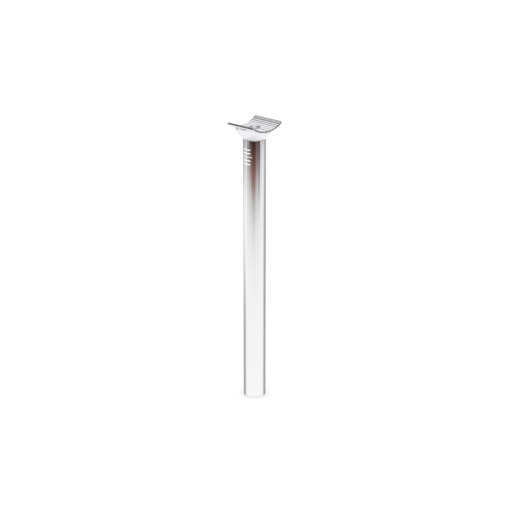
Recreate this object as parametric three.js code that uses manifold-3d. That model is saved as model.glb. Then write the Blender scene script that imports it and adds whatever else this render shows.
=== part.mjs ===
// A bicycle seatpost for a one-bolt saddle: a drawn aluminium tube with a forged cradle head.
// The saddle's curved base rocks in the cradle, where cross ridges stop it slipping, and one M8
// bolt comes down through the saddle into a steel insert that is pressed into the head from below.
// Millimetres. +Z up the post, origin at the centre of the tube's lower end.
// +X is the way the bicycle travels. The cradle's arc runs fore and aft, about an axis along Y.

import * as THREE from 'three';
import { mergeVertices } from 'three/addons/utils/BufferGeometryUtils.js';
import Module from 'manifold-3d';

const wasm = await Module();
wasm.setup();

// ---- Driving dimensions ----

const POST_DIAMETER = 25.4;
const POST_LENGTH = 320; // lower end of the tube to the cradle's lips
const HEAD_HEIGHT = 18.2; // seam between tube and head to the cradle's lips
const TUBE_WALL = 2.5;
const TUBE_END_CHAMFER = 0.6;
const SEAM_CHAMFER = 0.3;

const CRADLE_RADIUS = 38.5; // of the surface that the saddle's base rocks on
const CRADLE_CHORD = 43.4; // lip to lip, fore and aft
const CRADLE_WIDTH = 39; // across the bicycle
const PLATE_THICKNESS = 2.4;
const PLATE_CORNER_RADIUS = 1.1;
const RIDGE_PITCH = 3;
const RIDGE_DEPTH = 0.55;
const RIDGE_SHARPNESS = 2; // above 1 makes the plain crests broader than the valleys
const PLAIN_LIP = 3.5; // length of arc without ridges at each lip, to the nearest whole ridge

const NECK_RISE = 13; // the neck widens from round to oval over this height
const NECK_WIDENING_ALONG = 10; // added to its half-width, fore and aft
const NECK_WIDENING_ACROSS = 9.2; // added to its half-width, across the bicycle
const NECK_BULGE_ALONG = 1.8; // above 1 widens sooner, and then runs up more steeply
const NECK_BULGE_ACROSS = 1;
const NECK_EASING = 0.3; // softens the start of the flare
const SPIGOT_LENGTH = 30;
const SPIGOT_BORE = 16.4;
const SPIGOT_CHAMFER = 0.6;
const WEB_HEIGHT = 3.9; // seam to the underside of the web that carries the insert
const BOND_THICKNESS = 0.2; // adhesive between spigot and tube
const BOND_INSET = 1.5; // bare length of spigot at each end of the adhesive

const THREAD_CORE_DIAMETER = 6.8; // M8 x 1.25
const THREAD_MOUTH_DIAMETER = 8.6;
const INSERT_DIAMETER = 11;
const INSERT_FLANGE_DIAMETER = 15.6;
const INSERT_FLANGE_THICKNESS = 2;
const INSERT_TAIL = 4; // below the flange
const INSERT_RECESS = 0.3; // insert's top below the spot face
const SPOT_FACE_DIAMETER = 14;
const SPOT_FACE_DEPTH = 0.7; // below the lowest line of the rocking surface

const FIT_GAP = 0.05; // kept between pieces that are pressed or bonded together
const ROUND_SEGMENTS = 72;
const RIDGE_STEPS = 4; // chords in one ridge
const ARC_STEPS = 24;
const FLARE_STEPS = 18;
const CORNER_STEPS = 6;

// ---- Worked out ----

const POST_RADIUS = POST_DIAMETER / 2;
const TUBE_BORE_RADIUS = POST_RADIUS - TUBE_WALL;
const SPIGOT_RADIUS = TUBE_BORE_RADIUS - BOND_THICKNESS - 2 * FIT_GAP;
const SEAM_Z = POST_LENGTH - HEAD_HEIGHT;
const SPIGOT_END_Z = SEAM_Z - SPIGOT_LENGTH;
const LIP_ANGLE = Math.asin(CRADLE_CHORD / 2 / CRADLE_RADIUS);
const CRADLE_CENTRE_Z = POST_LENGTH + CRADLE_RADIUS * Math.cos(LIP_ANGLE);
const CRADLE_FLOOR_Z = CRADLE_CENTRE_Z - CRADLE_RADIUS;
const NECK_BOTTOM_Z = SEAM_Z + SEAM_CHAMFER;
const SPOT_FACE_Z = CRADLE_FLOOR_Z - SPOT_FACE_DEPTH;
const WEB_UNDERSIDE_Z = SEAM_Z + WEB_HEIGHT;
const ABOVE_HEAD_Z = POST_LENGTH + 10; // cutters run out to here

// ---- Helpers ----

// A closed three.js geometry as a solid that can be joined and cut.
function toSolid(geometry) {
  const triangles = geometry.index ? geometry.toNonIndexed() : geometry;
  const bare = new THREE.BufferGeometry();
  bare.setAttribute('position', triangles.getAttribute('position').clone());
  const merged = mergeVertices(bare, 1e-4);
  return new wasm.Manifold(new wasm.Mesh({
    numProp: 3,
    vertProperties: new Float32Array(merged.getAttribute('position').array),
    triVerts: new Uint32Array(merged.index.array),
  }));
}

function toGeometry(solid) {
  const mesh = solid.getMesh();
  const indexed = new THREE.BufferGeometry();
  indexed.setAttribute('position', new THREE.BufferAttribute(mesh.vertProperties, 3));
  indexed.setIndex(new THREE.BufferAttribute(mesh.triVerts, 1));
  const geometry = indexed.toNonIndexed();
  geometry.computeVertexNormals();
  return geometry;
}

// A piece turned about +Z from [radius, z] points, with the material on the left of their path.
function turned(points) {
  const profile = points.map(([radius, z]) => new THREE.Vector2(radius, z));
  return new THREE.LatheGeometry(profile, ROUND_SEGMENTS).rotateX(Math.PI / 2);
}

function cylinder(diameter, bottomZ, topZ) {
  const radius = diameter / 2;
  return toSolid(turned([[0, bottomZ], [radius, bottomZ], [radius, topZ], [0, topZ]]));
}

// An (x, z) outline drawn out along Y, centred on the post.
function acrossBicycle(outline, width) {
  const shape = new THREE.Shape(outline.map(([x, z]) => new THREE.Vector2(x, z)));
  const geometry = new THREE.ExtrudeGeometry(shape, { depth: width, bevelEnabled: false });
  return toSolid(geometry.rotateX(Math.PI / 2).translate(0, width / 2, 0));
}

// ---- Cradle curves, in (x, z) ----

function onArc(radius, angle) {
  return [radius * Math.sin(angle), CRADLE_CENTRE_Z - radius * Math.cos(angle)];
}

// Fore-and-aft curve of the rocking surface: a plain lip, the ridges and the other plain lip.
function ridgedCurve() {
  const ridgeCount = Math.round(2 * (LIP_ANGLE * CRADLE_RADIUS - PLAIN_LIP) / RIDGE_PITCH);
  const ridgedAngle = ridgeCount * RIDGE_PITCH / CRADLE_RADIUS;
  const steps = ridgeCount * RIDGE_STEPS;
  const curve = [onArc(CRADLE_RADIUS, -LIP_ANGLE)];
  for (let i = 0; i <= steps; i++) {
    const phase = 2 * Math.PI * i / RIDGE_STEPS;
    const depth = RIDGE_DEPTH * ((1 - Math.cos(phase)) / 2) ** RIDGE_SHARPNESS;
    curve.push(onArc(CRADLE_RADIUS + depth, ridgedAngle * (i / steps - 0.5)));
  }
  curve.push(onArc(CRADLE_RADIUS, LIP_ANGLE));
  return curve;
}

function undersideCurve() {
  const curve = [];
  for (let i = 0; i <= ARC_STEPS; i++) {
    curve.push(onArc(CRADLE_RADIUS + PLATE_THICKNESS, LIP_ANGLE * (1 - 2 * i / ARC_STEPS)));
  }
  return curve;
}

// ---- Cradle head ----

// Everything above the rocking surface, which the head is cut to.
function rockingSpace() {
  const reach = CRADLE_CHORD;
  const top = [[reach, POST_LENGTH], [reach, ABOVE_HEAD_Z], [-reach, ABOVE_HEAD_Z], [-reach, POST_LENGTH]];
  return acrossBicycle([...ridgedCurve(), ...top], 2 * CRADLE_WIDTH);
}

// The plate's outline from above, with rounded corners, as a tall block.
function planBlock() {
  const x = CRADLE_CHORD / 2 + PLATE_THICKNESS - PLATE_CORNER_RADIUS;
  const y = CRADLE_WIDTH / 2 - PLATE_CORNER_RADIUS;
  const plan = new THREE.Shape();
  const corners = [[x, -y], [x, y], [-x, y], [-x, -y]];
  corners.forEach(([cornerX, cornerY], i) => {
    const start = (i - 1) * Math.PI / 2;
    plan.absarc(cornerX, cornerY, PLATE_CORNER_RADIUS, start, start + Math.PI / 2, false);
  });
  const depth = ABOVE_HEAD_Z - SEAM_Z;
  const options = { depth, bevelEnabled: false, curveSegments: CORNER_STEPS };
  return toSolid(new THREE.ExtrudeGeometry(plan, options).translate(0, 0, SEAM_Z));
}

// Half-width of the neck at a height.
function neckHalfWidth(z, widening, bulge) {
  const rise = Math.max(z - NECK_BOTTOM_Z, 0);
  const share = Math.min(rise * rise / (rise + NECK_EASING) / NECK_RISE, 1);
  return POST_RADIUS + widening * (1 - (1 - share) ** bulge);
}

function neckAlong(z) {
  return neckHalfWidth(z, NECK_WIDENING_ALONG, NECK_BULGE_ALONG);
}

function neckAcross(z) {
  return neckHalfWidth(z, NECK_WIDENING_ACROSS, NECK_BULGE_ACROSS);
}

// Round at the seam and oval under the plate: turned to its width across, then stretched along.
function neck() {
  const outside = [[POST_RADIUS - SEAM_CHAMFER, SEAM_Z]];
  for (let i = 0; i <= FLARE_STEPS; i++) {
    const z = NECK_BOTTOM_Z + (POST_LENGTH - NECK_BOTTOM_Z) * i / FLARE_STEPS;
    outside.push([neckAcross(z), z]);
  }
  const geometry = turned([[0, SEAM_Z], ...outside, [0, POST_LENGTH]]);
  const position = geometry.getAttribute('position');
  for (let i = 0; i < position.count; i++) {
    const z = position.getZ(i);
    position.setX(i, position.getX(i) * neckAlong(z) / neckAcross(z));
  }
  return toSolid(geometry);
}

function spigot() {
  return toSolid(turned([
    [0, SPIGOT_END_Z],
    [SPIGOT_RADIUS - SPIGOT_CHAMFER, SPIGOT_END_Z],
    [SPIGOT_RADIUS, SPIGOT_END_Z + SPIGOT_CHAMFER],
    [SPIGOT_RADIUS, WEB_UNDERSIDE_Z],
    [0, WEB_UNDERSIDE_Z],
  ]));
}

function cradleHead() {
  const plate = acrossBicycle([...ridgedCurve(), ...undersideCurve()], CRADLE_WIDTH);
  return toGeometry(plate
    .add(neck().subtract(rockingSpace()))
    .intersect(planBlock())
    .add(spigot())
    .subtract(cylinder(SPIGOT_BORE, SPIGOT_END_Z - 1, WEB_UNDERSIDE_Z))
    .subtract(cylinder(INSERT_DIAMETER + 2 * FIT_GAP, SEAM_Z, ABOVE_HEAD_Z))
    .subtract(cylinder(SPOT_FACE_DIAMETER, SPOT_FACE_Z, ABOVE_HEAD_Z)));
}

// ---- Turned pieces ----

function postTube() {
  const topBore = TUBE_BORE_RADIUS + SEAM_CHAMFER;
  const endBore = TUBE_BORE_RADIUS + TUBE_END_CHAMFER / 2;
  return turned([
    [endBore, 0],
    [POST_RADIUS - TUBE_END_CHAMFER, 0],
    [POST_RADIUS, TUBE_END_CHAMFER],
    [POST_RADIUS, SEAM_Z - SEAM_CHAMFER],
    [POST_RADIUS - SEAM_CHAMFER, SEAM_Z],
    [topBore, SEAM_Z],
    [TUBE_BORE_RADIUS, SEAM_Z - SEAM_CHAMFER],
    [TUBE_BORE_RADIUS, TUBE_END_CHAMFER / 2],
    [endBore, 0],
  ]);
}

function bondLayer() {
  const outer = TUBE_BORE_RADIUS - FIT_GAP;
  const inner = outer - BOND_THICKNESS;
  const bottom = SPIGOT_END_Z + BOND_INSET;
  const top = SEAM_Z - BOND_INSET;
  return turned([[inner, bottom], [outer, bottom], [outer, top], [inner, top], [inner, bottom]]);
}

// The flange bears up against the web, so the saddle bolt pulls the insert tighter into the head.
function threadInsert() {
  const barrel = INSERT_DIAMETER / 2;
  const flange = INSERT_FLANGE_DIAMETER / 2;
  const core = THREAD_CORE_DIAMETER / 2;
  const mouth = THREAD_MOUTH_DIAMETER / 2;
  const lead = mouth - core;
  const top = SPOT_FACE_Z - INSERT_RECESS;
  const flangeTop = WEB_UNDERSIDE_Z - FIT_GAP;
  const flangeBottom = flangeTop - INSERT_FLANGE_THICKNESS;
  const bottom = flangeBottom - INSERT_TAIL;
  return turned([
    [mouth, bottom],
    [barrel, bottom],
    [barrel, flangeBottom],
    [flange, flangeBottom],
    [flange, flangeTop],
    [barrel, flangeTop],
    [barrel, top],
    [mouth, top],
    [core, top - lead],
    [core, bottom + lead],
    [mouth, bottom],
  ]);
}

// ---- Assembly ----

const polishedAluminium = new THREE.MeshStandardMaterial({
  color: 0xdcdce0,
  roughness: 0.1,
  metalness: 1,
});

const forgedAluminium = new THREE.MeshStandardMaterial({
  color: 0xd6d7de,
  roughness: 0.18,
  metalness: 1,
});

const platedSteel = new THREE.MeshStandardMaterial({
  color: 0xb4b8bd,
  roughness: 0.35,
  metalness: 1,
});

const adhesive = new THREE.MeshStandardMaterial({
  color: 0x3a3f45,
  roughness: 0.6,
  metalness: 0,
});

const seatpost = new THREE.Group();

function place(name, geometry, material) {
  const mesh = new THREE.Mesh(geometry, material);
  mesh.name = name;
  seatpost.add(mesh);
}

place('post_tube', postTube(), polishedAluminium);
place('cradle_head', cradleHead(), forgedAluminium);
place('bond_layer', bondLayer(), adhesive);
place('thread_insert', threadInsert(), platedSteel);

export default seatpost;
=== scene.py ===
# A polished aluminium seatpost for a one-bolt saddle, standing on its lower end on a white sweep.
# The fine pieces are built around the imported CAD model, in metres, in the same frame: +Z up the
# post, +X the way the bicycle travels, origin at the centre of the tube's lower end.

import math

import bmesh
import bpy
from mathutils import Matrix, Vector


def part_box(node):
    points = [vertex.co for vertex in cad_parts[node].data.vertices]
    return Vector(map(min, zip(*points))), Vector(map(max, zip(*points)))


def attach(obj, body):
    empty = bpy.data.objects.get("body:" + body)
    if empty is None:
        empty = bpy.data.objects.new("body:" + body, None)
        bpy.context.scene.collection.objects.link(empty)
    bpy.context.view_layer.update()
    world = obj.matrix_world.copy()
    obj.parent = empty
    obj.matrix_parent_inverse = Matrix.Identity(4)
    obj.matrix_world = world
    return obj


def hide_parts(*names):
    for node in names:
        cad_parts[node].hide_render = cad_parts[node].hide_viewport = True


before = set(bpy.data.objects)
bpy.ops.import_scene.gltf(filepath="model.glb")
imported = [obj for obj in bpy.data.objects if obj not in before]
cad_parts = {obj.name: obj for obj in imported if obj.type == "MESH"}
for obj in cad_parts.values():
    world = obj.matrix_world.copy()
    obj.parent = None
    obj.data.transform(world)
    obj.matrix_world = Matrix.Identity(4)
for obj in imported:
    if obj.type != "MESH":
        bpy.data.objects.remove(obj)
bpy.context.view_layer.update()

MM = 0.001

# ---- Sizes ----

TUBE_LOW, TUBE_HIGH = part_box("post_tube")
HEAD_LOW, HEAD_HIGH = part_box("cradle_head")
INSERT_LOW, INSERT_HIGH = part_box("thread_insert")
BOND_LOW, BOND_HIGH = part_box("bond_layer")

POST_RADIUS = TUBE_HIGH.x
SEAM_Z = TUBE_HIGH.z
TUBE_WALL = 2.5 * MM
TUBE_BORE_RADIUS = POST_RADIUS - TUBE_WALL
TUBE_END_CHAMFER = 0.6 * MM
TUBE_EDGE_ROUNDING = 0.2 * MM
TUBE_RINGS = 40
SEAM_CHAMFER = 0.3 * MM

CRADLE_RADIUS = 38.5 * MM
PLATE_THICKNESS = 2.4 * MM
PLATE_EDGE_RADIUS = 0.22 * MM
PLATE_CORNER_RADIUS = 1.1 * MM
HALF_WIDTH = HEAD_HIGH.y
LIP_ANGLE = math.asin(HEAD_HIGH.x / (CRADLE_RADIUS + PLATE_THICKNESS))
HALF_ARC = LIP_ANGLE * CRADLE_RADIUS
CRADLE_CENTRE_Z = HEAD_HIGH.z + CRADLE_RADIUS * math.cos(LIP_ANGLE)
CRADLE_FLOOR_Z = CRADLE_CENTRE_Z - CRADLE_RADIUS
RIDGE_PITCH = 3 * MM
RIDGE_DEPTH = 0.55 * MM
RIDGE_SHARPNESS = 2
RIDGE_COUNT = 13
RIDGED_HALF_ARC = RIDGE_COUNT * RIDGE_PITCH / 2
COLUMNS_PER_RIDGE = 16

NECK_BOTTOM_Z = SEAM_Z + SEAM_CHAMFER
NECK_RISE = 13 * MM
NECK_WIDENING_ALONG = 10 * MM
NECK_WIDENING_ACROSS = 9.2 * MM
NECK_BULGE_ALONG = 1.8
NECK_BULGE_ACROSS = 1
NECK_EASING = 0.3 * MM
NECK_FILLET = 0.8 * MM
NECK_RINGS = 32
SPIGOT_RADIUS = 9.9 * MM
SPIGOT_CHAMFER = 0.6 * MM
SPIGOT_BORE_RADIUS = 8.2 * MM
WEB_RISE = 3.9 * MM
WEB_UNDERSIDE_Z = SEAM_Z + WEB_RISE
SPOT_FACE_RADIUS = 7 * MM
SPOT_FACE_DEPTH = 0.7 * MM
SPOT_FACE_Z = CRADLE_FLOOR_Z - SPOT_FACE_DEPTH
SPOT_FACE_CHAMFER = 0.3 * MM

INSERT_RADIUS = 5.5 * MM
INSERT_HOLE_RADIUS = 5.55 * MM
INSERT_FLANGE_RADIUS = INSERT_HIGH.x
INSERT_FLANGE_THICKNESS = 2 * MM
INSERT_FLANGE_GAP = 0.05 * MM
INSERT_EDGE_ROUNDING = 0.12 * MM
INSERT_SEGMENTS = 96
THREAD_CORE_RADIUS = 3.4 * MM
THREAD_ROOT_RADIUS = 4 * MM
THREAD_MOUTH_RADIUS = 4.3 * MM
THREAD_PITCH = 1.25 * MM
THREAD_RINGS = 120

BOND_THICKNESS = 0.2 * MM
BOND_MENISCUS = 0.25 * MM

MARK_PROUD = 0.012 * MM
MARK_SUNK = 0.05 * MM
SCALE_MIDDLE_Z = SEAM_Z - 18.5 * MM
SCALE_SPACING = 4 * MM
SCALE_THICKNESS = 1.1 * MM
SCALE_HALF_LENGTH = 5 * MM
SCALE_MIDDLE_HALF_LENGTH = 7 * MM
LIMIT_Z = 80 * MM
LIMIT_THICKNESS = 0.6 * MM
LIMIT_DASH = 1.6 * MM

ROUND_SEGMENTS = 192

# ---- Camera ----

CAMERA_AZIMUTH = math.radians(-47.02)
CAMERA_ELEVATION = math.radians(20.08)
CAMERA_DISTANCE = 1.5
CAMERA_AIM_Z = 168.2 * MM
CAMERA_LENS = 95.84
CAMERA_SHIFT = 0.0008

TO_CAMERA = Vector((
    math.sin(CAMERA_AZIMUTH) * math.cos(CAMERA_ELEVATION),
    -math.cos(CAMERA_AZIMUTH) * math.cos(CAMERA_ELEVATION),
    math.sin(CAMERA_ELEVATION),
))
FRONT = Vector((math.sin(CAMERA_AZIMUTH), -math.cos(CAMERA_AZIMUTH), 0))
RIGHT = Vector((math.cos(CAMERA_AZIMUTH), math.sin(CAMERA_AZIMUTH), 0))


def add_camera():
    data = bpy.data.cameras.new("camera")
    data.sensor_width = 36
    data.lens = CAMERA_LENS
    data.shift_x = CAMERA_SHIFT
    camera = bpy.data.objects.new("camera", data)
    camera.location = Vector((0, 0, CAMERA_AIM_Z)) + TO_CAMERA * CAMERA_DISTANCE
    camera.rotation_euler = TO_CAMERA.to_track_quat("Z", "Y").to_euler()
    bpy.context.scene.collection.objects.link(camera)
    bpy.context.scene.camera = camera


# ---- Node helpers ----


def add_node(tree, kind, **values):
    """A node with its properties set, and its inputs set where the name is an input's."""
    node = tree.nodes.new(kind)
    for key, value in values.items():
        if hasattr(node, key):
            setattr(node, key, value)
        else:
            node.inputs[key].default_value = value
    return node


def fill(tree, socket, value):
    """Links another node's output to an input, or sets the input to a constant."""
    if isinstance(value, bpy.types.NodeSocket):
        tree.links.new(value, socket)
    else:
        socket.default_value = value


def math_node(tree, operation, a, b=0.0, c=0.0):
    node = add_node(tree, "ShaderNodeMath", operation=operation)
    for socket, value in zip(node.inputs, (a, b, c)):
        fill(tree, socket, value)
    return node.outputs[0]


def multiply(tree, *values):
    product = values[0]
    for value in values[1:]:
        product = math_node(tree, "MULTIPLY", product, value)
    return product


def unit_range(tree, value, low, high, interpolation):
    node = add_node(tree, "ShaderNodeMapRange", interpolation_type=interpolation, clamp=True)
    node.inputs["From Min"].default_value = low
    node.inputs["From Max"].default_value = high
    tree.links.new(value, node.inputs["Value"])
    return node.outputs[0]


def smooth_range(tree, value, low, high):
    """0 at low and 1 at high, with eased ends."""
    return unit_range(tree, value, low, high, "SMOOTHSTEP")


def curve(tree, value, stops):
    """A number from (value, number) stops, straight between them."""
    node = add_node(tree, "ShaderNodeFloatCurve")
    node.mapping.use_clip = False
    low = stops[0][0]
    high = stops[-1][0]
    points = [((at - low) / (high - low), number) for at, number in stops]
    line = node.mapping.curves[0]
    line.points[0].location = points[0]
    line.points[1].location = points[-1]
    for at, number in points[1:-1]:
        line.points.new(at, number)
    for point in line.points:
        point.handle_type = "VECTOR"
    node.mapping.update()
    tree.links.new(unit_range(tree, value, low, high, "LINEAR"), node.inputs["Value"])
    return node.outputs[0]


def mix_number(tree, share, start, end):
    """start where share is 0 and the number end where it is 1."""
    room = math_node(tree, "SUBTRACT", end, start)
    return math_node(tree, "MULTIPLY_ADD", share, room, start)


def mix_colour(tree, share, a, b, blend="MIX"):
    node = add_node(tree, "ShaderNodeMix", data_type="RGBA", blend_type=blend)
    for socket, value in ((node.inputs[0], share), (node.inputs[6], a), (node.inputs[7], b)):
        fill(tree, socket, value)
    return node.outputs[2]


def along_axis(tree, direction, axis):
    dot = add_node(tree, "ShaderNodeVectorMath", operation="DOT_PRODUCT")
    dot.inputs[1].default_value = axis
    tree.links.new(direction, dot.inputs[0])
    return dot.outputs["Value"]


def stretched_noise(tree, stretch, detail=3.0, roughness=0.5):
    """Noise in the object's own metres, with a frequency for each axis, in cycles a metre."""
    place = add_node(tree, "ShaderNodeTexCoord")
    scale = add_node(tree, "ShaderNodeMapping")
    scale.inputs["Scale"].default_value = stretch
    noise = add_node(tree, "ShaderNodeTexNoise", Scale=1.0, Detail=detail, Roughness=roughness)
    tree.links.new(place.outputs["Object"], scale.inputs["Vector"])
    tree.links.new(scale.outputs[0], noise.inputs["Vector"])
    return noise.outputs["Fac"]


# ---- Material helpers ----


def new_material(name):
    material = bpy.data.materials.new(name)
    material.use_nodes = True
    return material, material.node_tree


def new_shader(name, metallic=0.0):
    material, tree = new_material(name)
    shader = tree.nodes["Principled BSDF"]
    shader.inputs["Metallic"].default_value = metallic
    return material, tree, shader


def set_colour(tree, shader, share, start, end):
    tree.links.new(mix_colour(tree, share, start, end), shader.inputs["Base Color"])


def set_roughness(tree, shader, share, room, start):
    """Roughness start, and room more where share is 1."""
    rough = math_node(tree, "MULTIPLY_ADD", share, room, start)
    tree.links.new(rough, shader.inputs["Roughness"])


def set_bump(tree, shader, height, distance):
    node = add_node(tree, "ShaderNodeBump", Strength=1.0, Distance=distance)
    tree.links.new(height, node.inputs["Height"])
    tree.links.new(node.outputs[0], shader.inputs["Normal"])


# ---- Materials ----


def polished_tube_material():
    """Mirror-polished drawn tube: fine lengthwise buffing marks over a faint wave."""
    material, tree, shader = new_shader("polished_tube", metallic=1.0)
    shader.inputs["Specular Tint"].default_value = (0.65, 0.65, 0.66, 1)
    fine = stretched_noise(tree, (2600, 2600, 14), detail=4.0, roughness=0.6)
    broad = stretched_noise(tree, (160, 160, 9), detail=2.0)
    set_colour(tree, shader, fine, (0.90, 0.90, 0.905, 1), (0.95, 0.95, 0.955, 1))
    worn = math_node(tree, "MULTIPLY_ADD", broad, 0.06, 0.035)
    set_roughness(tree, shader, fine, 0.05, worn)
    height = math_node(tree, "MULTIPLY_ADD", broad, 6.0, fine)
    set_bump(tree, shader, height, 0.0016 * MM)
    return material


def forged_head_material():
    """Forged, tumbled and polished: a faint orange peel, and a satin underside."""
    material, tree, shader = new_shader("forged_head", metallic=1.0)
    shader.inputs["Specular Tint"].default_value = (0.92, 0.92, 0.94, 1)
    peel = stretched_noise(tree, (900, 900, 900), detail=3.0)
    stain = stretched_noise(tree, (130, 130, 130), detail=4.0, roughness=0.6)
    set_colour(tree, shader, stain, (0.885, 0.885, 0.92, 1), (0.955, 0.955, 0.98, 1))
    polished = math_node(tree, "MULTIPLY_ADD", stain, 0.12, 0.06)
    facing = add_node(tree, "ShaderNodeSeparateXYZ")
    tree.links.new(add_node(tree, "ShaderNodeNewGeometry").outputs["Normal"], facing.inputs[0])
    underside = smooth_range(tree, facing.outputs["Z"], -0.12, -0.5)
    set_roughness(tree, shader, underside, 0.28, polished)
    set_bump(tree, shader, peel, 0.012 * MM)
    return material


def plated_steel_material():
    """Zinc-plated turned steel, with fine turning marks around its axis."""
    material, tree, shader = new_shader("plated_steel", metallic=1.0)
    grain = stretched_noise(tree, (1500, 1500, 1500), detail=4.0)
    set_colour(tree, shader, grain, (0.62, 0.63, 0.65, 1), (0.76, 0.77, 0.78, 1))
    set_roughness(tree, shader, grain, 0.2, 0.2)
    place = add_node(tree, "ShaderNodeTexCoord")
    rings = add_node(tree, "ShaderNodeTexWave", wave_type="RINGS", rings_direction="Z", Scale=900.0)
    tree.links.new(place.outputs["Object"], rings.inputs["Vector"])
    set_bump(tree, shader, rings.outputs["Fac"], 0.008 * MM)
    return material


def adhesive_material():
    """Cured structural adhesive: dark, matt and faintly cloudy."""
    material, tree, shader = new_shader("adhesive")
    cloud = stretched_noise(tree, (400, 400, 400), detail=4.0)
    set_colour(tree, shader, cloud, (0.035, 0.04, 0.045, 1), (0.06, 0.065, 0.07, 1))
    shader.inputs["Roughness"].default_value = 0.55
    set_bump(tree, shader, cloud, 0.05 * MM)
    return material


def etched_material():
    """Laser-frosted aluminium: white and matt, with a fine grain."""
    material, tree, shader = new_shader("laser_etch")
    grain = stretched_noise(tree, (5000, 5000, 5000), detail=2.0)
    set_colour(tree, shader, grain, (0.80, 0.80, 0.80, 1), (0.97, 0.97, 0.97, 1))
    set_roughness(tree, shader, grain, 0.2, 0.5)
    set_bump(tree, shader, grain, 0.01 * MM)
    return material


# ---- Mesh helpers ----


def mesh_object(name, points, faces, material):
    mesh = bpy.data.meshes.new(name)
    mesh.from_pydata(points, [], faces)
    piece = bpy.data.objects.new(name, mesh)
    bpy.context.scene.collection.objects.link(piece)
    finish_mesh(mesh, material)
    return piece


def finish_mesh(mesh, material, sharp_angle=30):
    """Smooth-shaded, and creased where its faces meet at more than sharp_angle degrees."""
    joined = bmesh.new()
    joined.from_mesh(mesh)
    bmesh.ops.remove_doubles(joined, verts=joined.verts, dist=0.0005 * MM)
    bmesh.ops.recalc_face_normals(joined, faces=joined.faces)
    joined.to_mesh(mesh)
    joined.free()
    mesh.materials.clear()
    mesh.materials.append(material)
    mesh.shade_smooth()
    mesh.set_sharp_from_angle(angle=math.radians(sharp_angle))


def grid_faces(rows, columns, wrap_rows=False, wrap_columns=False):
    """Quads over points stored row by row."""
    faces = []
    for row in range(rows if wrap_rows else rows - 1):
        next_row = (row + 1) % rows
        for column in range(columns if wrap_columns else columns - 1):
            next_column = (column + 1) % columns
            faces.append((
                row * columns + column,
                row * columns + next_column,
                next_row * columns + next_column,
                next_row * columns + column,
            ))
    return faces


def ring(radii, z):
    """Points around +Z at a height, evenly turned, one for each of the radii."""
    points = []
    for i, radius in enumerate(radii):
        turn = 2 * math.pi * i / len(radii)
        points.append((radius * math.cos(turn), radius * math.sin(turn), z))
    return points


def turned(name, profile, material):
    """A solid ring turned about +Z from a closed loop of (radius, z) points."""
    points = []
    for radius, z in profile:
        points += ring([radius] * ROUND_SEGMENTS, z)
    faces = grid_faces(len(profile), ROUND_SEGMENTS, wrap_rows=True, wrap_columns=True)
    return mesh_object(name, points, faces, material)


def bend(start, corner, end, share):
    """A point on the curve from start to end that a corner pulls towards itself."""
    return start * (1 - share) ** 2 + corner * 2 * share * (1 - share) + end * share ** 2


def rounded(corners, radius, steps=4):
    """The loop of corners with each one rounded, by a curve from edge to edge."""
    loop = []
    count = len(corners)
    for i, corner in enumerate(corners):
        here = Vector(corner)
        before = Vector(corners[i - 1]) - here
        after = Vector(corners[(i + 1) % count]) - here
        if before.angle(-after) < 0.01:
            loop.append(corner)
            continue
        reach = min(radius, before.length / 2.2, after.length / 2.2)
        start = here + before.normalized() * reach
        end = here + after.normalized() * reach
        for step in range(steps + 1):
            point = bend(start, here, end, step / steps)
            loop.append((point.x, point.y))
    return loop


# ---- Post tube ----


def build_tube():
    end_bore = TUBE_BORE_RADIUS + TUBE_END_CHAMFER / 2
    low = TUBE_END_CHAMFER + 0.4 * MM
    high = SEAM_Z - SEAM_CHAMFER - 0.25 * MM
    levels = [low + (high - low) * i / TUBE_RINGS for i in range(TUBE_RINGS + 1)]
    corners = [
        (end_bore, 0),
        (POST_RADIUS - TUBE_END_CHAMFER, 0),
        (POST_RADIUS, TUBE_END_CHAMFER),
        *((POST_RADIUS, z) for z in levels),
        (POST_RADIUS, SEAM_Z - SEAM_CHAMFER),
        (POST_RADIUS - SEAM_CHAMFER, SEAM_Z),
        (TUBE_BORE_RADIUS + SEAM_CHAMFER, SEAM_Z),
        (TUBE_BORE_RADIUS, SEAM_Z - SEAM_CHAMFER),
        *((TUBE_BORE_RADIUS, z) for z in reversed(levels)),
        (TUBE_BORE_RADIUS, TUBE_END_CHAMFER / 2),
    ]
    tube = turned("tube", rounded(corners, TUBE_EDGE_ROUNDING), polished_tube_material())
    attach(tube, "root")
    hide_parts("post_tube")


# ---- Etched marks ----


def curved_patch(centre_turn, half_length, centre_z, thickness):
    """Points and faces of a thin closed slab that lies on the tube's outside."""
    columns = 12
    half_turn = half_length / POST_RADIUS
    low_z = centre_z - thickness / 2
    high_z = centre_z + thickness / 2
    points = []
    for radius, z in (
        (POST_RADIUS - MARK_SUNK, low_z),
        (POST_RADIUS + MARK_PROUD, low_z),
        (POST_RADIUS + MARK_PROUD, high_z),
        (POST_RADIUS - MARK_SUNK, high_z),
    ):
        for i in range(columns):
            turn = centre_turn + half_turn * (2 * i / (columns - 1) - 1)
            points.append((radius * math.cos(turn), radius * math.sin(turn), z))
    faces = grid_faces(4, columns, wrap_rows=True)
    faces.append(tuple(row * columns for row in range(4)))
    faces.append(tuple(row * columns + columns - 1 for row in reversed(range(4))))
    return points, faces


def etched_marks(name, patches):
    """One piece from several slabs, each given as curved_patch takes it."""
    points = []
    faces = []
    for patch in patches:
        more_points, more_faces = curved_patch(*patch)
        start = len(points)
        points += more_points
        faces += [tuple(start + corner for corner in face) for face in more_faces]
    marks = mesh_object(name, points, faces, etched_material())
    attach(marks, "root")


def build_height_scale():
    """Plain graduations for setting the saddle's height again, on the rear of the tube."""
    patches = []
    for i in range(-2, 3):
        half_length = SCALE_MIDDLE_HALF_LENGTH if i == 0 else SCALE_HALF_LENGTH
        z = SCALE_MIDDLE_Z + i * SCALE_SPACING
        patches.append((math.pi, half_length, z, SCALE_THICKNESS))
    etched_marks("height_scale", patches)


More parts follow.
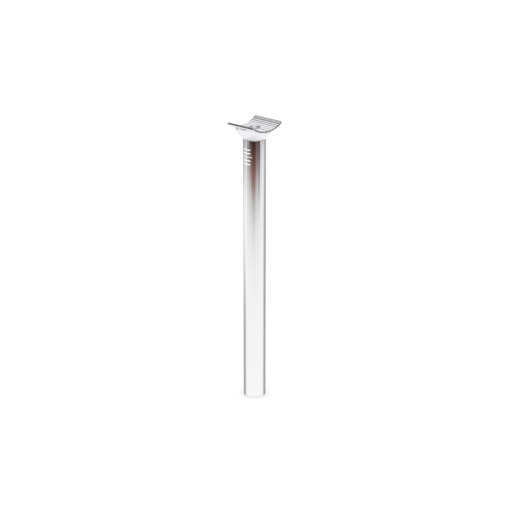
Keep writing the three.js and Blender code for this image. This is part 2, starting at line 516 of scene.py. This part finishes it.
def build_insertion_limit():
    """The least depth that the frame has to hold, as a dashed line on the front of the tube."""
    turn_spacing = 2 * LIMIT_DASH / POST_RADIUS
    patches = []
    for i in range(-2, 3):
        patches.append((i * turn_spacing, LIMIT_DASH / 2, LIMIT_Z, LIMIT_THICKNESS))
    etched_marks("insertion_limit", patches)


# ---- Cradle head: the ridged plate ----


def ridge_cut(s):
    """Depth below the crests at an arc length s from the middle: broad crests, narrow valleys."""
    if abs(s) >= RIDGED_HALF_ARC:
        return 0.0
    phase = ((s + RIDGED_HALF_ARC) / RIDGE_PITCH) % 1.0
    wave = (1 - math.cos(2 * math.pi * phase)) / 2
    return RIDGE_DEPTH * wave ** RIDGE_SHARPNESS


def plate_point(s, y, depth):
    """A point at arc length s and width y, depth below the rocking surface."""
    angle = s / CRADLE_RADIUS
    radius = CRADLE_RADIUS + depth
    return Vector((radius * math.sin(angle), y, CRADLE_CENTRE_Z - radius * math.cos(angle)))


def arc_limit(y):
    """How far the plate reaches along its arc at width y, inside its rounded corners."""
    past = abs(y) - (HALF_WIDTH - PLATE_CORNER_RADIUS)
    if past <= 0:
        return HALF_ARC
    side = math.sqrt(max(PLATE_CORNER_RADIUS ** 2 - past ** 2, 0))
    return HALF_ARC - PLATE_CORNER_RADIUS + side


def edge_distance(s, y):
    """Distance from the plate's rounded outline, inwards, in the sheet's own plane."""
    dx = abs(s) - (HALF_ARC - PLATE_CORNER_RADIUS)
    dy = abs(y) - (HALF_WIDTH - PLATE_CORNER_RADIUS)
    outside = math.hypot(max(dx, 0), max(dy, 0))
    inside = min(max(dx, dy), 0)
    return PLATE_CORNER_RADIUS - outside - inside


def edge_drop(distance):
    """How far the plate's rounded edge falls away at a distance in from the outline."""
    if distance >= PLATE_EDGE_RADIUS:
        return 0.0
    across = PLATE_EDGE_RADIUS - max(distance, 0.0)
    return PLATE_EDGE_RADIUS - math.sqrt(PLATE_EDGE_RADIUS ** 2 - across ** 2)


def edge_steps():
    """Distances in from an edge, close together over its rounding."""
    turns = [math.radians(degrees) for degrees in range(0, 81, 20)]
    return [PLATE_EDGE_RADIUS * (1 - math.cos(turn)) for turn in turns]


def width_rows():
    """The widths of the grid's rows, from -Y to +Y."""
    corner_turns = [math.radians(90 - 6 * i) for i in range(1, 15)]
    corner = [HALF_WIDTH - PLATE_CORNER_RADIUS * (1 - math.sin(turn)) for turn in corner_turns]
    near = [HALF_WIDTH - step for step in edge_steps()]
    middle = [HALF_WIDTH * i / 12 for i in range(11)]
    half = sorted(set(round(y, 7) for y in near + corner + middle))
    return [-y for y in reversed(half[1:])] + half


def arc_columns():
    """Each column as (s inside the ridges, share of the way from there to the outline)."""
    count = RIDGE_COUNT * COLUMNS_PER_RIDGE
    ridged = [(RIDGED_HALF_ARC * (2 * i / count - 1), 0.0) for i in range(count + 1)]
    lip = HALF_ARC - RIDGED_HALF_ARC
    shares = [i / 8 for i in range(1, 7)]
    shares += [1 - step / lip for step in reversed(edge_steps())]
    high = [(RIDGED_HALF_ARC, share) for share in shares]
    low = [(-s, share) for s, share in reversed(high)]
    return low + ridged + high


def column_arc(column, y):
    """The arc length of a column where it crosses width y."""
    s, share = column
    if share == 0.0:
        return s
    reach = RIDGED_HALF_ARC + share * (arc_limit(y) - RIDGED_HALF_ARC)
    return math.copysign(reach, s)


def outline_loop(rows, columns):
    """Row and column numbers around the grid's edge, in order."""
    last_row = rows - 1
    last_column = columns - 1
    loop = [(0, column) for column in range(last_column)]
    loop += [(row, last_column) for row in range(last_row)]
    loop += [(last_row, column) for column in range(last_column, 0, -1)]
    loop += [(row, 0) for row in range(last_row, 0, -1)]
    return loop


# ---- Cradle head: below the plate ----


def underside_z(x):
    return CRADLE_CENTRE_Z - math.sqrt((CRADLE_RADIUS + PLATE_THICKNESS) ** 2 - x ** 2)


def neck_half_width(z, widening, bulge):
    rise = max(z - NECK_BOTTOM_Z, 0)
    share = min(rise * rise / (rise + NECK_EASING) / NECK_RISE, 1)
    return POST_RADIUS + widening * (1 - (1 - share) ** bulge)


def neck_radius(turn, z):
    """The oval neck's radius at an azimuth and a height."""
    along = neck_half_width(z, NECK_WIDENING_ALONG, NECK_BULGE_ALONG)
    across = neck_half_width(z, NECK_WIDENING_ACROSS, NECK_BULGE_ACROSS)
    return 1 / math.hypot(math.cos(turn) / along, math.sin(turn) / across)


def neck_top(turn):
    """(radius, z) where the neck meets the plate's underside at an azimuth."""
    z = underside_z(0)
    for _ in range(12):
        radius = neck_radius(turn, z)
        z = underside_z(radius * math.cos(turn))
    return radius, z


def plate_edge_spoke(s, y):
    """Points around the plate's lower edge and a little way in, at one place on its outline."""
    outline = plate_point(s, y, PLATE_THICKNESS - PLATE_EDGE_RADIUS)
    reach = math.hypot(outline.x, outline.y)
    wall_top = ridge_cut(s) + PLATE_EDGE_RADIUS
    wall_low = PLATE_THICKNESS - PLATE_EDGE_RADIUS
    spoke = []
    for share in (0.06, 0.5, 0.94, 1.0):
        spoke.append(plate_point(s, y, wall_top + (wall_low - wall_top) * share))
    for degrees in range(15, 91, 15):
        turn = math.radians(degrees)
        share = 1 - PLATE_EDGE_RADIUS * (1 - math.cos(turn)) / reach
        depth = wall_low + PLATE_EDGE_RADIUS * math.sin(turn)
        spoke.append(plate_point(s * share, y * share, depth))
    return spoke


def underside_spoke(turn, direction, start):
    """Points in along the underside from the radius start, and over the fillet onto the neck."""
    radius, top_z = neck_top(turn)
    fillet = min(NECK_FILLET, (start - radius) * 0.9)
    spoke = []
    for step in range(1, 5):
        reach = start + (radius + fillet - start) * step / 4
        along = direction.x * reach
        across = direction.y * reach
        spoke.append(Vector((along, across, underside_z(along))))
    outer = spoke[-1]
    corner = Vector((direction.x * radius, direction.y * radius, top_z))
    wall_z = top_z - NECK_FILLET
    wall = direction * neck_radius(turn, wall_z)
    wall.z = wall_z
    for step in range(1, 9):
        spoke.append(bend(outer, corner, wall, step / 8))
    return spoke


def neck_spoke(turn, direction):
    """Points from below the fillet down the neck's wall to the seam."""
    wall_z = neck_top(turn)[1] - NECK_FILLET
    spoke = []
    for step in range(1, NECK_RINGS + 1):
        z = wall_z + (NECK_BOTTOM_Z - wall_z) * step / NECK_RINGS
        place = direction * neck_radius(turn, z)
        spoke.append(Vector((place.x, place.y, z)))
    return spoke


def spigot_spoke(direction):
    """Points in from the seam and down the spigot."""
    spoke = []
    for reach, z in (
        (POST_RADIUS - SEAM_CHAMFER, SEAM_Z),
        (SPIGOT_RADIUS, SEAM_Z),
        (SPIGOT_RADIUS, HEAD_LOW.z + SPIGOT_CHAMFER),
        (SPIGOT_RADIUS - SPIGOT_CHAMFER, HEAD_LOW.z),
    ):
        spoke.append(Vector((direction.x * reach, direction.y * reach, z)))
    return spoke


def below_plate(s, y):
    """One spoke of the underside: from the plate's edge in to the neck, and down to the spigot."""
    edge = plate_edge_spoke(s, y)
    turn = math.atan2(y, edge[-1].x)
    direction = Vector((math.cos(turn), math.sin(turn), 0))
    start = math.hypot(edge[-1].x, edge[-1].y)
    underside = underside_spoke(turn, direction, start)
    return edge + underside + neck_spoke(turn, direction) + spigot_spoke(direction)


# ---- Cradle head: the whole forging ----


def head_blank(material):
    """The whole forging as one closed mesh, before its bores are cut."""
    widths = width_rows()
    columns = arc_columns()
    points = []
    for y in widths:
        for column in columns:
            s = column_arc(column, y)
            depth = ridge_cut(s) + edge_drop(edge_distance(s, y))
            points.append(plate_point(s, y, depth))
    faces = grid_faces(len(widths), len(columns))

    loop = outline_loop(len(widths), len(columns))
    count = len(loop)
    spokes = []
    for row, column in loop:
        y = widths[row]
        spokes.append(below_plate(column_arc(columns[column], y), y))
    upper = [row * len(columns) + column for row, column in loop]
    for level in zip(*spokes):
        lower = [len(points) + i for i in range(count)]
        points += level
        for i in range(count):
            j = (i + 1) % count
            faces.append((upper[i], upper[j], lower[j], lower[i]))
        upper = lower
    points.append(Vector((0, 0, HEAD_LOW.z)))
    for i in range(count):
        faces.append((upper[i], upper[(i + 1) % count], len(points) - 1))
    return mesh_object("head", points, faces, material)


def cutter(profile, material):
    """A closed turned solid for a boolean cut. Its (radius, z) points start and end on the axis."""
    points = [(0, 0, profile[0][1]), (0, 0, profile[-1][1])]
    rings = profile[1:-1]
    for radius, z in rings:
        points += ring([radius] * ROUND_SEGMENTS, z)
    faces = []
    for face in grid_faces(len(rings), ROUND_SEGMENTS, wrap_columns=True):
        faces.append(tuple(2 + corner for corner in face))
    top = 2 + (len(rings) - 1) * ROUND_SEGMENTS
    for i in range(ROUND_SEGMENTS):
        j = (i + 1) % ROUND_SEGMENTS
        faces.append((0, 2 + j, 2 + i))
        faces.append((1, top + i, top + j))
    return mesh_object("bore_cutter", points, faces, material)


def cut_away(piece, tool):
    """Takes tool away from piece, for good."""
    modifier = piece.modifiers.new("cut", "BOOLEAN")
    modifier.operation = "DIFFERENCE"
    modifier.solver = "EXACT"
    modifier.object = tool
    evaluated = piece.evaluated_get(bpy.context.evaluated_depsgraph_get())
    mesh = bpy.data.meshes.new_from_object(evaluated)
    piece.modifiers.clear()
    piece.data = mesh
    bpy.data.objects.remove(tool)


def build_head():
    material = forged_head_material()
    head = head_blank(material)
    below = HEAD_LOW.z - 1 * MM
    above = HEAD_HIGH.z + 5 * MM
    rim = SPOT_FACE_RADIUS + SPOT_FACE_CHAMFER
    bores = [
        (0, below),
        (SPIGOT_BORE_RADIUS, below),
        (SPIGOT_BORE_RADIUS, WEB_UNDERSIDE_Z),
        (INSERT_HOLE_RADIUS, WEB_UNDERSIDE_Z),
        (INSERT_HOLE_RADIUS, SPOT_FACE_Z),
        (SPOT_FACE_RADIUS, SPOT_FACE_Z),
        (SPOT_FACE_RADIUS, CRADLE_FLOOR_Z - SPOT_FACE_CHAMFER),
        (rim, CRADLE_FLOOR_Z),
        (rim, above),
        (0, above),
    ]
    cut_away(head, cutter(bores, material))
    finish_mesh(head.data, material)
    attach(head, "root")
    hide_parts("cradle_head")


# ---- Thread insert ----


def insert_outside():
    """The insert's outside and flange, from its lower end up and in to the upper mouth."""
    flange_top = WEB_UNDERSIDE_Z - INSERT_FLANGE_GAP
    flange_bottom = flange_top - INSERT_FLANGE_THICKNESS
    return rounded([
        (INSERT_RADIUS, INSERT_LOW.z),
        (INSERT_RADIUS, flange_bottom),
        (INSERT_FLANGE_RADIUS, flange_bottom),
        (INSERT_FLANGE_RADIUS, flange_top),
        (INSERT_RADIUS, flange_top),
        (INSERT_RADIUS, INSERT_HIGH.z),
        (THREAD_MOUTH_RADIUS, INSERT_HIGH.z),
    ], INSERT_EDGE_ROUNDING)


def thread_cut(turn, z, low_z, high_z):
    """Depth of the internal thread at a turn and height, fading out at both mouths."""
    phase = (z / THREAD_PITCH - turn / (2 * math.pi)) % 1.0
    vee = 1 - abs(2 * phase - 1)
    flat = min(max(vee * 1.5 - 0.25, 0.0), 1.0)
    fade = min((z - low_z) / THREAD_PITCH, (high_z - z) / THREAD_PITCH, 1.0)
    return (THREAD_ROOT_RADIUS - THREAD_CORE_RADIUS) * flat * max(fade, 0.0)


def thread_ring(z, low_z, high_z):
    """Points around the threaded bore at a height."""
    radii = []
    for i in range(INSERT_SEGMENTS):
        turn = 2 * math.pi * i / INSERT_SEGMENTS
        radii.append(THREAD_CORE_RADIUS + thread_cut(turn, z, low_z, high_z))
    return ring(radii, z)


def build_insert():
    lead = THREAD_MOUTH_RADIUS - THREAD_CORE_RADIUS
    low_z = INSERT_LOW.z + lead
    high_z = INSERT_HIGH.z - lead
    points = []
    outside = insert_outside()
    for radius, z in outside:
        points += ring([radius] * INSERT_SEGMENTS, z)
    for i in range(THREAD_RINGS + 1):
        points += thread_ring(high_z + (low_z - high_z) * i / THREAD_RINGS, low_z, high_z)
    points += ring([THREAD_MOUTH_RADIUS] * INSERT_SEGMENTS, INSERT_LOW.z)
    rings = len(points) // INSERT_SEGMENTS
    faces = grid_faces(rings, INSERT_SEGMENTS, wrap_rows=True, wrap_columns=True)
    insert = mesh_object("insert", points, faces, plated_steel_material())
    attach(insert, "root")
    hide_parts("thread_insert")


# ---- Adhesive ----


def build_bond():
    """The cured adhesive, with a meniscus at each end."""
    outer = BOND_HIGH.x
    inner = outer - BOND_THICKNESS
    middle = (outer + inner) / 2
    profile = [
        (inner, BOND_LOW.z),
        (middle, BOND_LOW.z + BOND_MENISCUS),
        (outer, BOND_LOW.z),
        (outer, BOND_HIGH.z),
        (middle, BOND_HIGH.z - BOND_MENISCUS),
        (inner, BOND_HIGH.z),
    ]
    bond = turned("adhesive_layer", profile, adhesive_material())
    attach(bond, "root")
    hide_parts("bond_layer")


# ---- Studio ----
# The floor and the even white light are all that the camera sees around the post. Only the polished
# metal sees the rest: a white table in a dim room in front, painted as a reflection on glowing
# sheets, and a white backdrop behind.

FLOOR_HALF_SIZE = 15.0
TABLE_CARD_REACH = 6
TABLE_CARD_Z = 0.4 * MM
# Where the glowing sheet with the painted dark reflection of the room lies.
DARK_CARD_LOW = (1.12, -0.3)
DARK_CARD_HIGH = (4, 0.6)
DARK_CARD_Z = 0.8 * MM
EVEN_LIGHT = (1.25, 1.25, 1.25, 1)
WHITE = (1.0, 1.0, 1.0, 1)
# Colours of the painted reflection of a dim room, on the glowing sheets that only reflections see.
ROOM_DARK = (0.012, 0.011, 0.011, 1)
ROOM_DIM = (0.3, 0.3, 0.31, 1)


def emission_material(name):
    material, tree = new_material(name)
    tree.nodes.clear()
    light = add_node(tree, "ShaderNodeEmission")
    output = add_node(tree, "ShaderNodeOutputMaterial")
    tree.links.new(light.outputs[0], output.inputs["Surface"])
    return material, tree, light


def add_sheet(name, low, high, z, material):
    """A flat sheet, with its own X to the camera's right and its own -Y towards the front."""
    corners = [
        (low[0], low[1], z),
        (high[0], low[1], z),
        (high[0], high[1], z),
        (low[0], high[1], z),
    ]
    sheet = mesh_object(name, corners, [(0, 1, 2, 3)], material)
    sheet.rotation_euler = (0, 0, CAMERA_AZIMUTH)
    return sheet


def add_card(name, low, high, z, material):
    """A sheet that only reflections see."""
    card = add_sheet(name, low, high, z, material)
    card.visible_camera = False
    card.visible_diffuse = False
    card.visible_transmission = False
    card.visible_shadow = False


def add_floor():
    material, _, shader = new_shader("white_sweep")
    shader.inputs["Base Color"].default_value = (0.92, 0.92, 0.92, 1)
    shader.inputs["Roughness"].default_value = 0.7
    shader.inputs["Specular IOR Level"].default_value = 0.1
    half = FLOOR_HALF_SIZE
    floor = add_sheet("floor", (-half, -half), (half, half), 0.0, material)
    floor.visible_glossy = False


def table_polar(tree):
    """A place on the table as (degrees to the right of the front, distance from the post)."""
    place = add_node(tree, "ShaderNodeTexCoord").outputs["Object"]
    split = add_node(tree, "ShaderNodeSeparateXYZ")
    tree.links.new(place, split.inputs[0])
    front = multiply(tree, split.outputs["Y"], -1.0)
    azimuth = math_node(tree, "ARCTAN2", split.outputs["X"], front)
    length = add_node(tree, "ShaderNodeVectorMath", operation="LENGTH")
    tree.links.new(place, length.inputs[0])
    return multiply(tree, azimuth, 180 / math.pi), length.outputs["Value"]


def table_grey(tree, degrees, distance):
    """Painted reflection: white near the post and dark past the table's front edge, with one darker
    streak.
    """
    edge = curve(tree, degrees, [
        (-100, 0.68), (-76, 0.72), (-60, 0.80), (-40, 0.87), (-20, 0.98), (0, 1.0),
        (16, 0.86), (40, 0.83), (54, 0.80), (58, 0.64), (100, 0.55),
    ])
    grey = curve(tree, multiply(tree, distance, edge), [
        (0.0, 1.0), (0.29, 0.96), (0.45, 0.89), (0.545, 0.81), (0.64, 0.67), (0.69, 0.57),
        (0.745, 0.45), (0.80, 0.21), (0.86, 0.145), (0.92, 0.09), (0.99, 0.045), (1.05, 0.003),
        (2.0, 0.0),
    ])
    streak = multiply(
        tree,
        smooth_range(tree, degrees, 36, 41),
        smooth_range(tree, degrees, 54, 49),
        smooth_range(tree, distance, 0.72, 0.80),
    )
    return multiply(tree, grey, math_node(tree, "MULTIPLY_ADD", streak, -0.42, 1.0))


def table_tint(tree, degrees, grey):
    """Tint of the painted reflection: brown in front and faintly violet to the sides, where the
    table is dark.
    """
    warm_left = smooth_range(tree, degrees, -70, -15)
    warm_right = smooth_range(tree, degrees, 38, 12)
    warm = multiply(tree, warm_left, warm_right)
    tint = mix_colour(tree, warm, (1.1, 0.96, 1.12, 1), (1.85, 0.82, 0.6, 1))
    return mix_colour(tree, smooth_range(tree, grey, 0.02, 0.55), tint, WHITE)


def past_table(tree, degrees, distance):
    """1 where the painted reflection on the card shows the white backdrop beyond the table's sides.
    """
    turned_away = math_node(tree, "ABSOLUTE", degrees)
    beside = smooth_range(tree, turned_away, 82, 90)
    wide = smooth_range(tree, turned_away, 40, 55)
    far = smooth_range(tree, distance, 1.3, 1.5)
    left = smooth_range(tree, degrees, -46, -60)
    left_far = smooth_range(tree, distance, 1.15, 1.2)
    white = math_node(tree, "MAXIMUM", beside, multiply(tree, wide, far))
    return math_node(tree, "MAXIMUM", white, multiply(tree, left, left_far))


def add_reflected_table():
    """A glowing sheet that only reflections see, with the table in front of the post painted on it
    as a reflection.
    """
    material, tree, light = emission_material("reflected_table")
    degrees, distance = table_polar(tree)
    grey = table_grey(tree, degrees, distance)
    tint = table_tint(tree, degrees, grey)
    colour = mix_colour(tree, grey, ROOM_DARK, WHITE)
    colour = mix_colour(tree, 1.0, colour, tint, blend="MULTIPLY")
    colour = mix_colour(tree, past_table(tree, degrees, distance), colour, WHITE)
    tree.links.new(colour, light.inputs["Color"])
    low = (-TABLE_CARD_REACH, -TABLE_CARD_REACH)
    high = (TABLE_CARD_REACH, -POST_RADIUS)
    add_card("reflected_table", low, high, TABLE_CARD_Z, material)


def add_painted_dark_reflection():
    """A glowing sheet that only reflections see, with a painted reflection of the dim room past the
    table's right-hand edge: dark near that edge, dim further out.
    """
    material, tree, light = emission_material("painted_dark_reflection")
    place = add_node(tree, "ShaderNodeTexCoord")
    split = add_node(tree, "ShaderNodeSeparateXYZ")
    tree.links.new(place.outputs["Object"], split.inputs[0])
    far = smooth_range(tree, split.outputs["X"], 1.2, 1.24)
    tree.links.new(mix_colour(tree, far, ROOM_DARK, ROOM_DIM), light.inputs["Color"])
    add_card("painted_dark_reflection", DARK_CARD_LOW, DARK_CARD_HIGH, DARK_CARD_Z, material)


def light_above(tree, toward_front, upward):
    """Light from above the horizon: the backdrop behind, dim bands over the post, the ceiling."""
    above = curve(tree, toward_front, [
        (-1, 1), (-0.61, 1), (-0.58, 0.44), (-0.46, 0.42), (-0.41, 0.8), (-0.24, 0.75),
        (-0.13, 0.13), (0.68, 0.12), (0.78, 0.75), (1, 0.8),
    ])
    ceiling = smooth_range(tree, upward, 0.76, 0.84)
    return mix_number(tree, ceiling, above, 0.95)


def light_below(tree, toward_front, upward, rightward):
    """Light from below the horizon: white, with the dim foot of the backdrop as a band in it."""
    behind = curve(tree, toward_front, [
        (-1, 1), (-0.9, 1), (-0.78, 0.75), (-0.65, 0.5), (-0.5, 0.42), (-0.35, 0.46),
        (-0.2, 0.68), (-0.1, 0.88), (0, 0.96), (1, 0.96),
    ])
    band_low = smooth_range(tree, upward, -0.48, -0.45)
    band_high = smooth_range(tree, upward, -0.20, -0.24)
    left = smooth_range(tree, rightward, 0.0, -0.1)
    left_high = smooth_range(tree, upward, -0.40, -0.32)
    off_left = math_node(tree, "SUBTRACT", 1.0, multiply(tree, left, left_high))
    band = multiply(tree, band_low, band_high, off_left)
    below = math_node(tree, "MULTIPLY_ADD", math_node(tree, "SUBTRACT", behind, 1.0), band, 1.0)
    wing = multiply(tree, smooth_range(tree, upward, -0.31, -0.25), left, band_high)
    return multiply(tree, below, math_node(tree, "MULTIPLY_ADD", wing, -0.6, 1.0))


def add_world():
    """Reflections see the room by direction. Everything else sees an even white light."""
    world = bpy.data.worlds.new("studio")
    bpy.context.scene.world = world
    world.use_nodes = True
    tree = world.node_tree
    direction = add_node(tree, "ShaderNodeTexCoord").outputs["Generated"]
    toward_front = along_axis(tree, direction, FRONT)
    upward = along_axis(tree, direction, (0, 0, 1))
    rightward = along_axis(tree, direction, RIGHT)
    above = light_above(tree, toward_front, upward)
    below = light_below(tree, toward_front, upward, rightward)
    is_above = smooth_range(tree, upward, -0.04, 0.02)
    lower = multiply(tree, below, math_node(tree, "SUBTRACT", 1.0, is_above))
    reflected = math_node(tree, "MULTIPLY_ADD", above, is_above, lower)
    ray = add_node(tree, "ShaderNodeLightPath")
    colour = mix_colour(tree, ray.outputs["Is Glossy Ray"], EVEN_LIGHT, reflected)
    tree.links.new(colour, tree.nodes["Background"].inputs["Color"])


def add_softbox():
    data = bpy.data.lights.new("softbox", "AREA")
    data.energy = 0.6
    data.size = 1.2
    softbox = bpy.data.objects.new("softbox", data)
    softbox.location = (0, 0, 2.0)
    bpy.context.scene.collection.objects.link(softbox)


def add_studio():
    add_floor()
    add_reflected_table()
    add_painted_dark_reflection()
    add_world()
    add_softbox()
    bpy.context.scene.view_settings.view_transform = "Standard"


# ---- Scene ----

add_camera()
add_studio()
build_tube()
build_head()
build_insert()
build_bond()
build_height_scale()
build_insertion_limit()
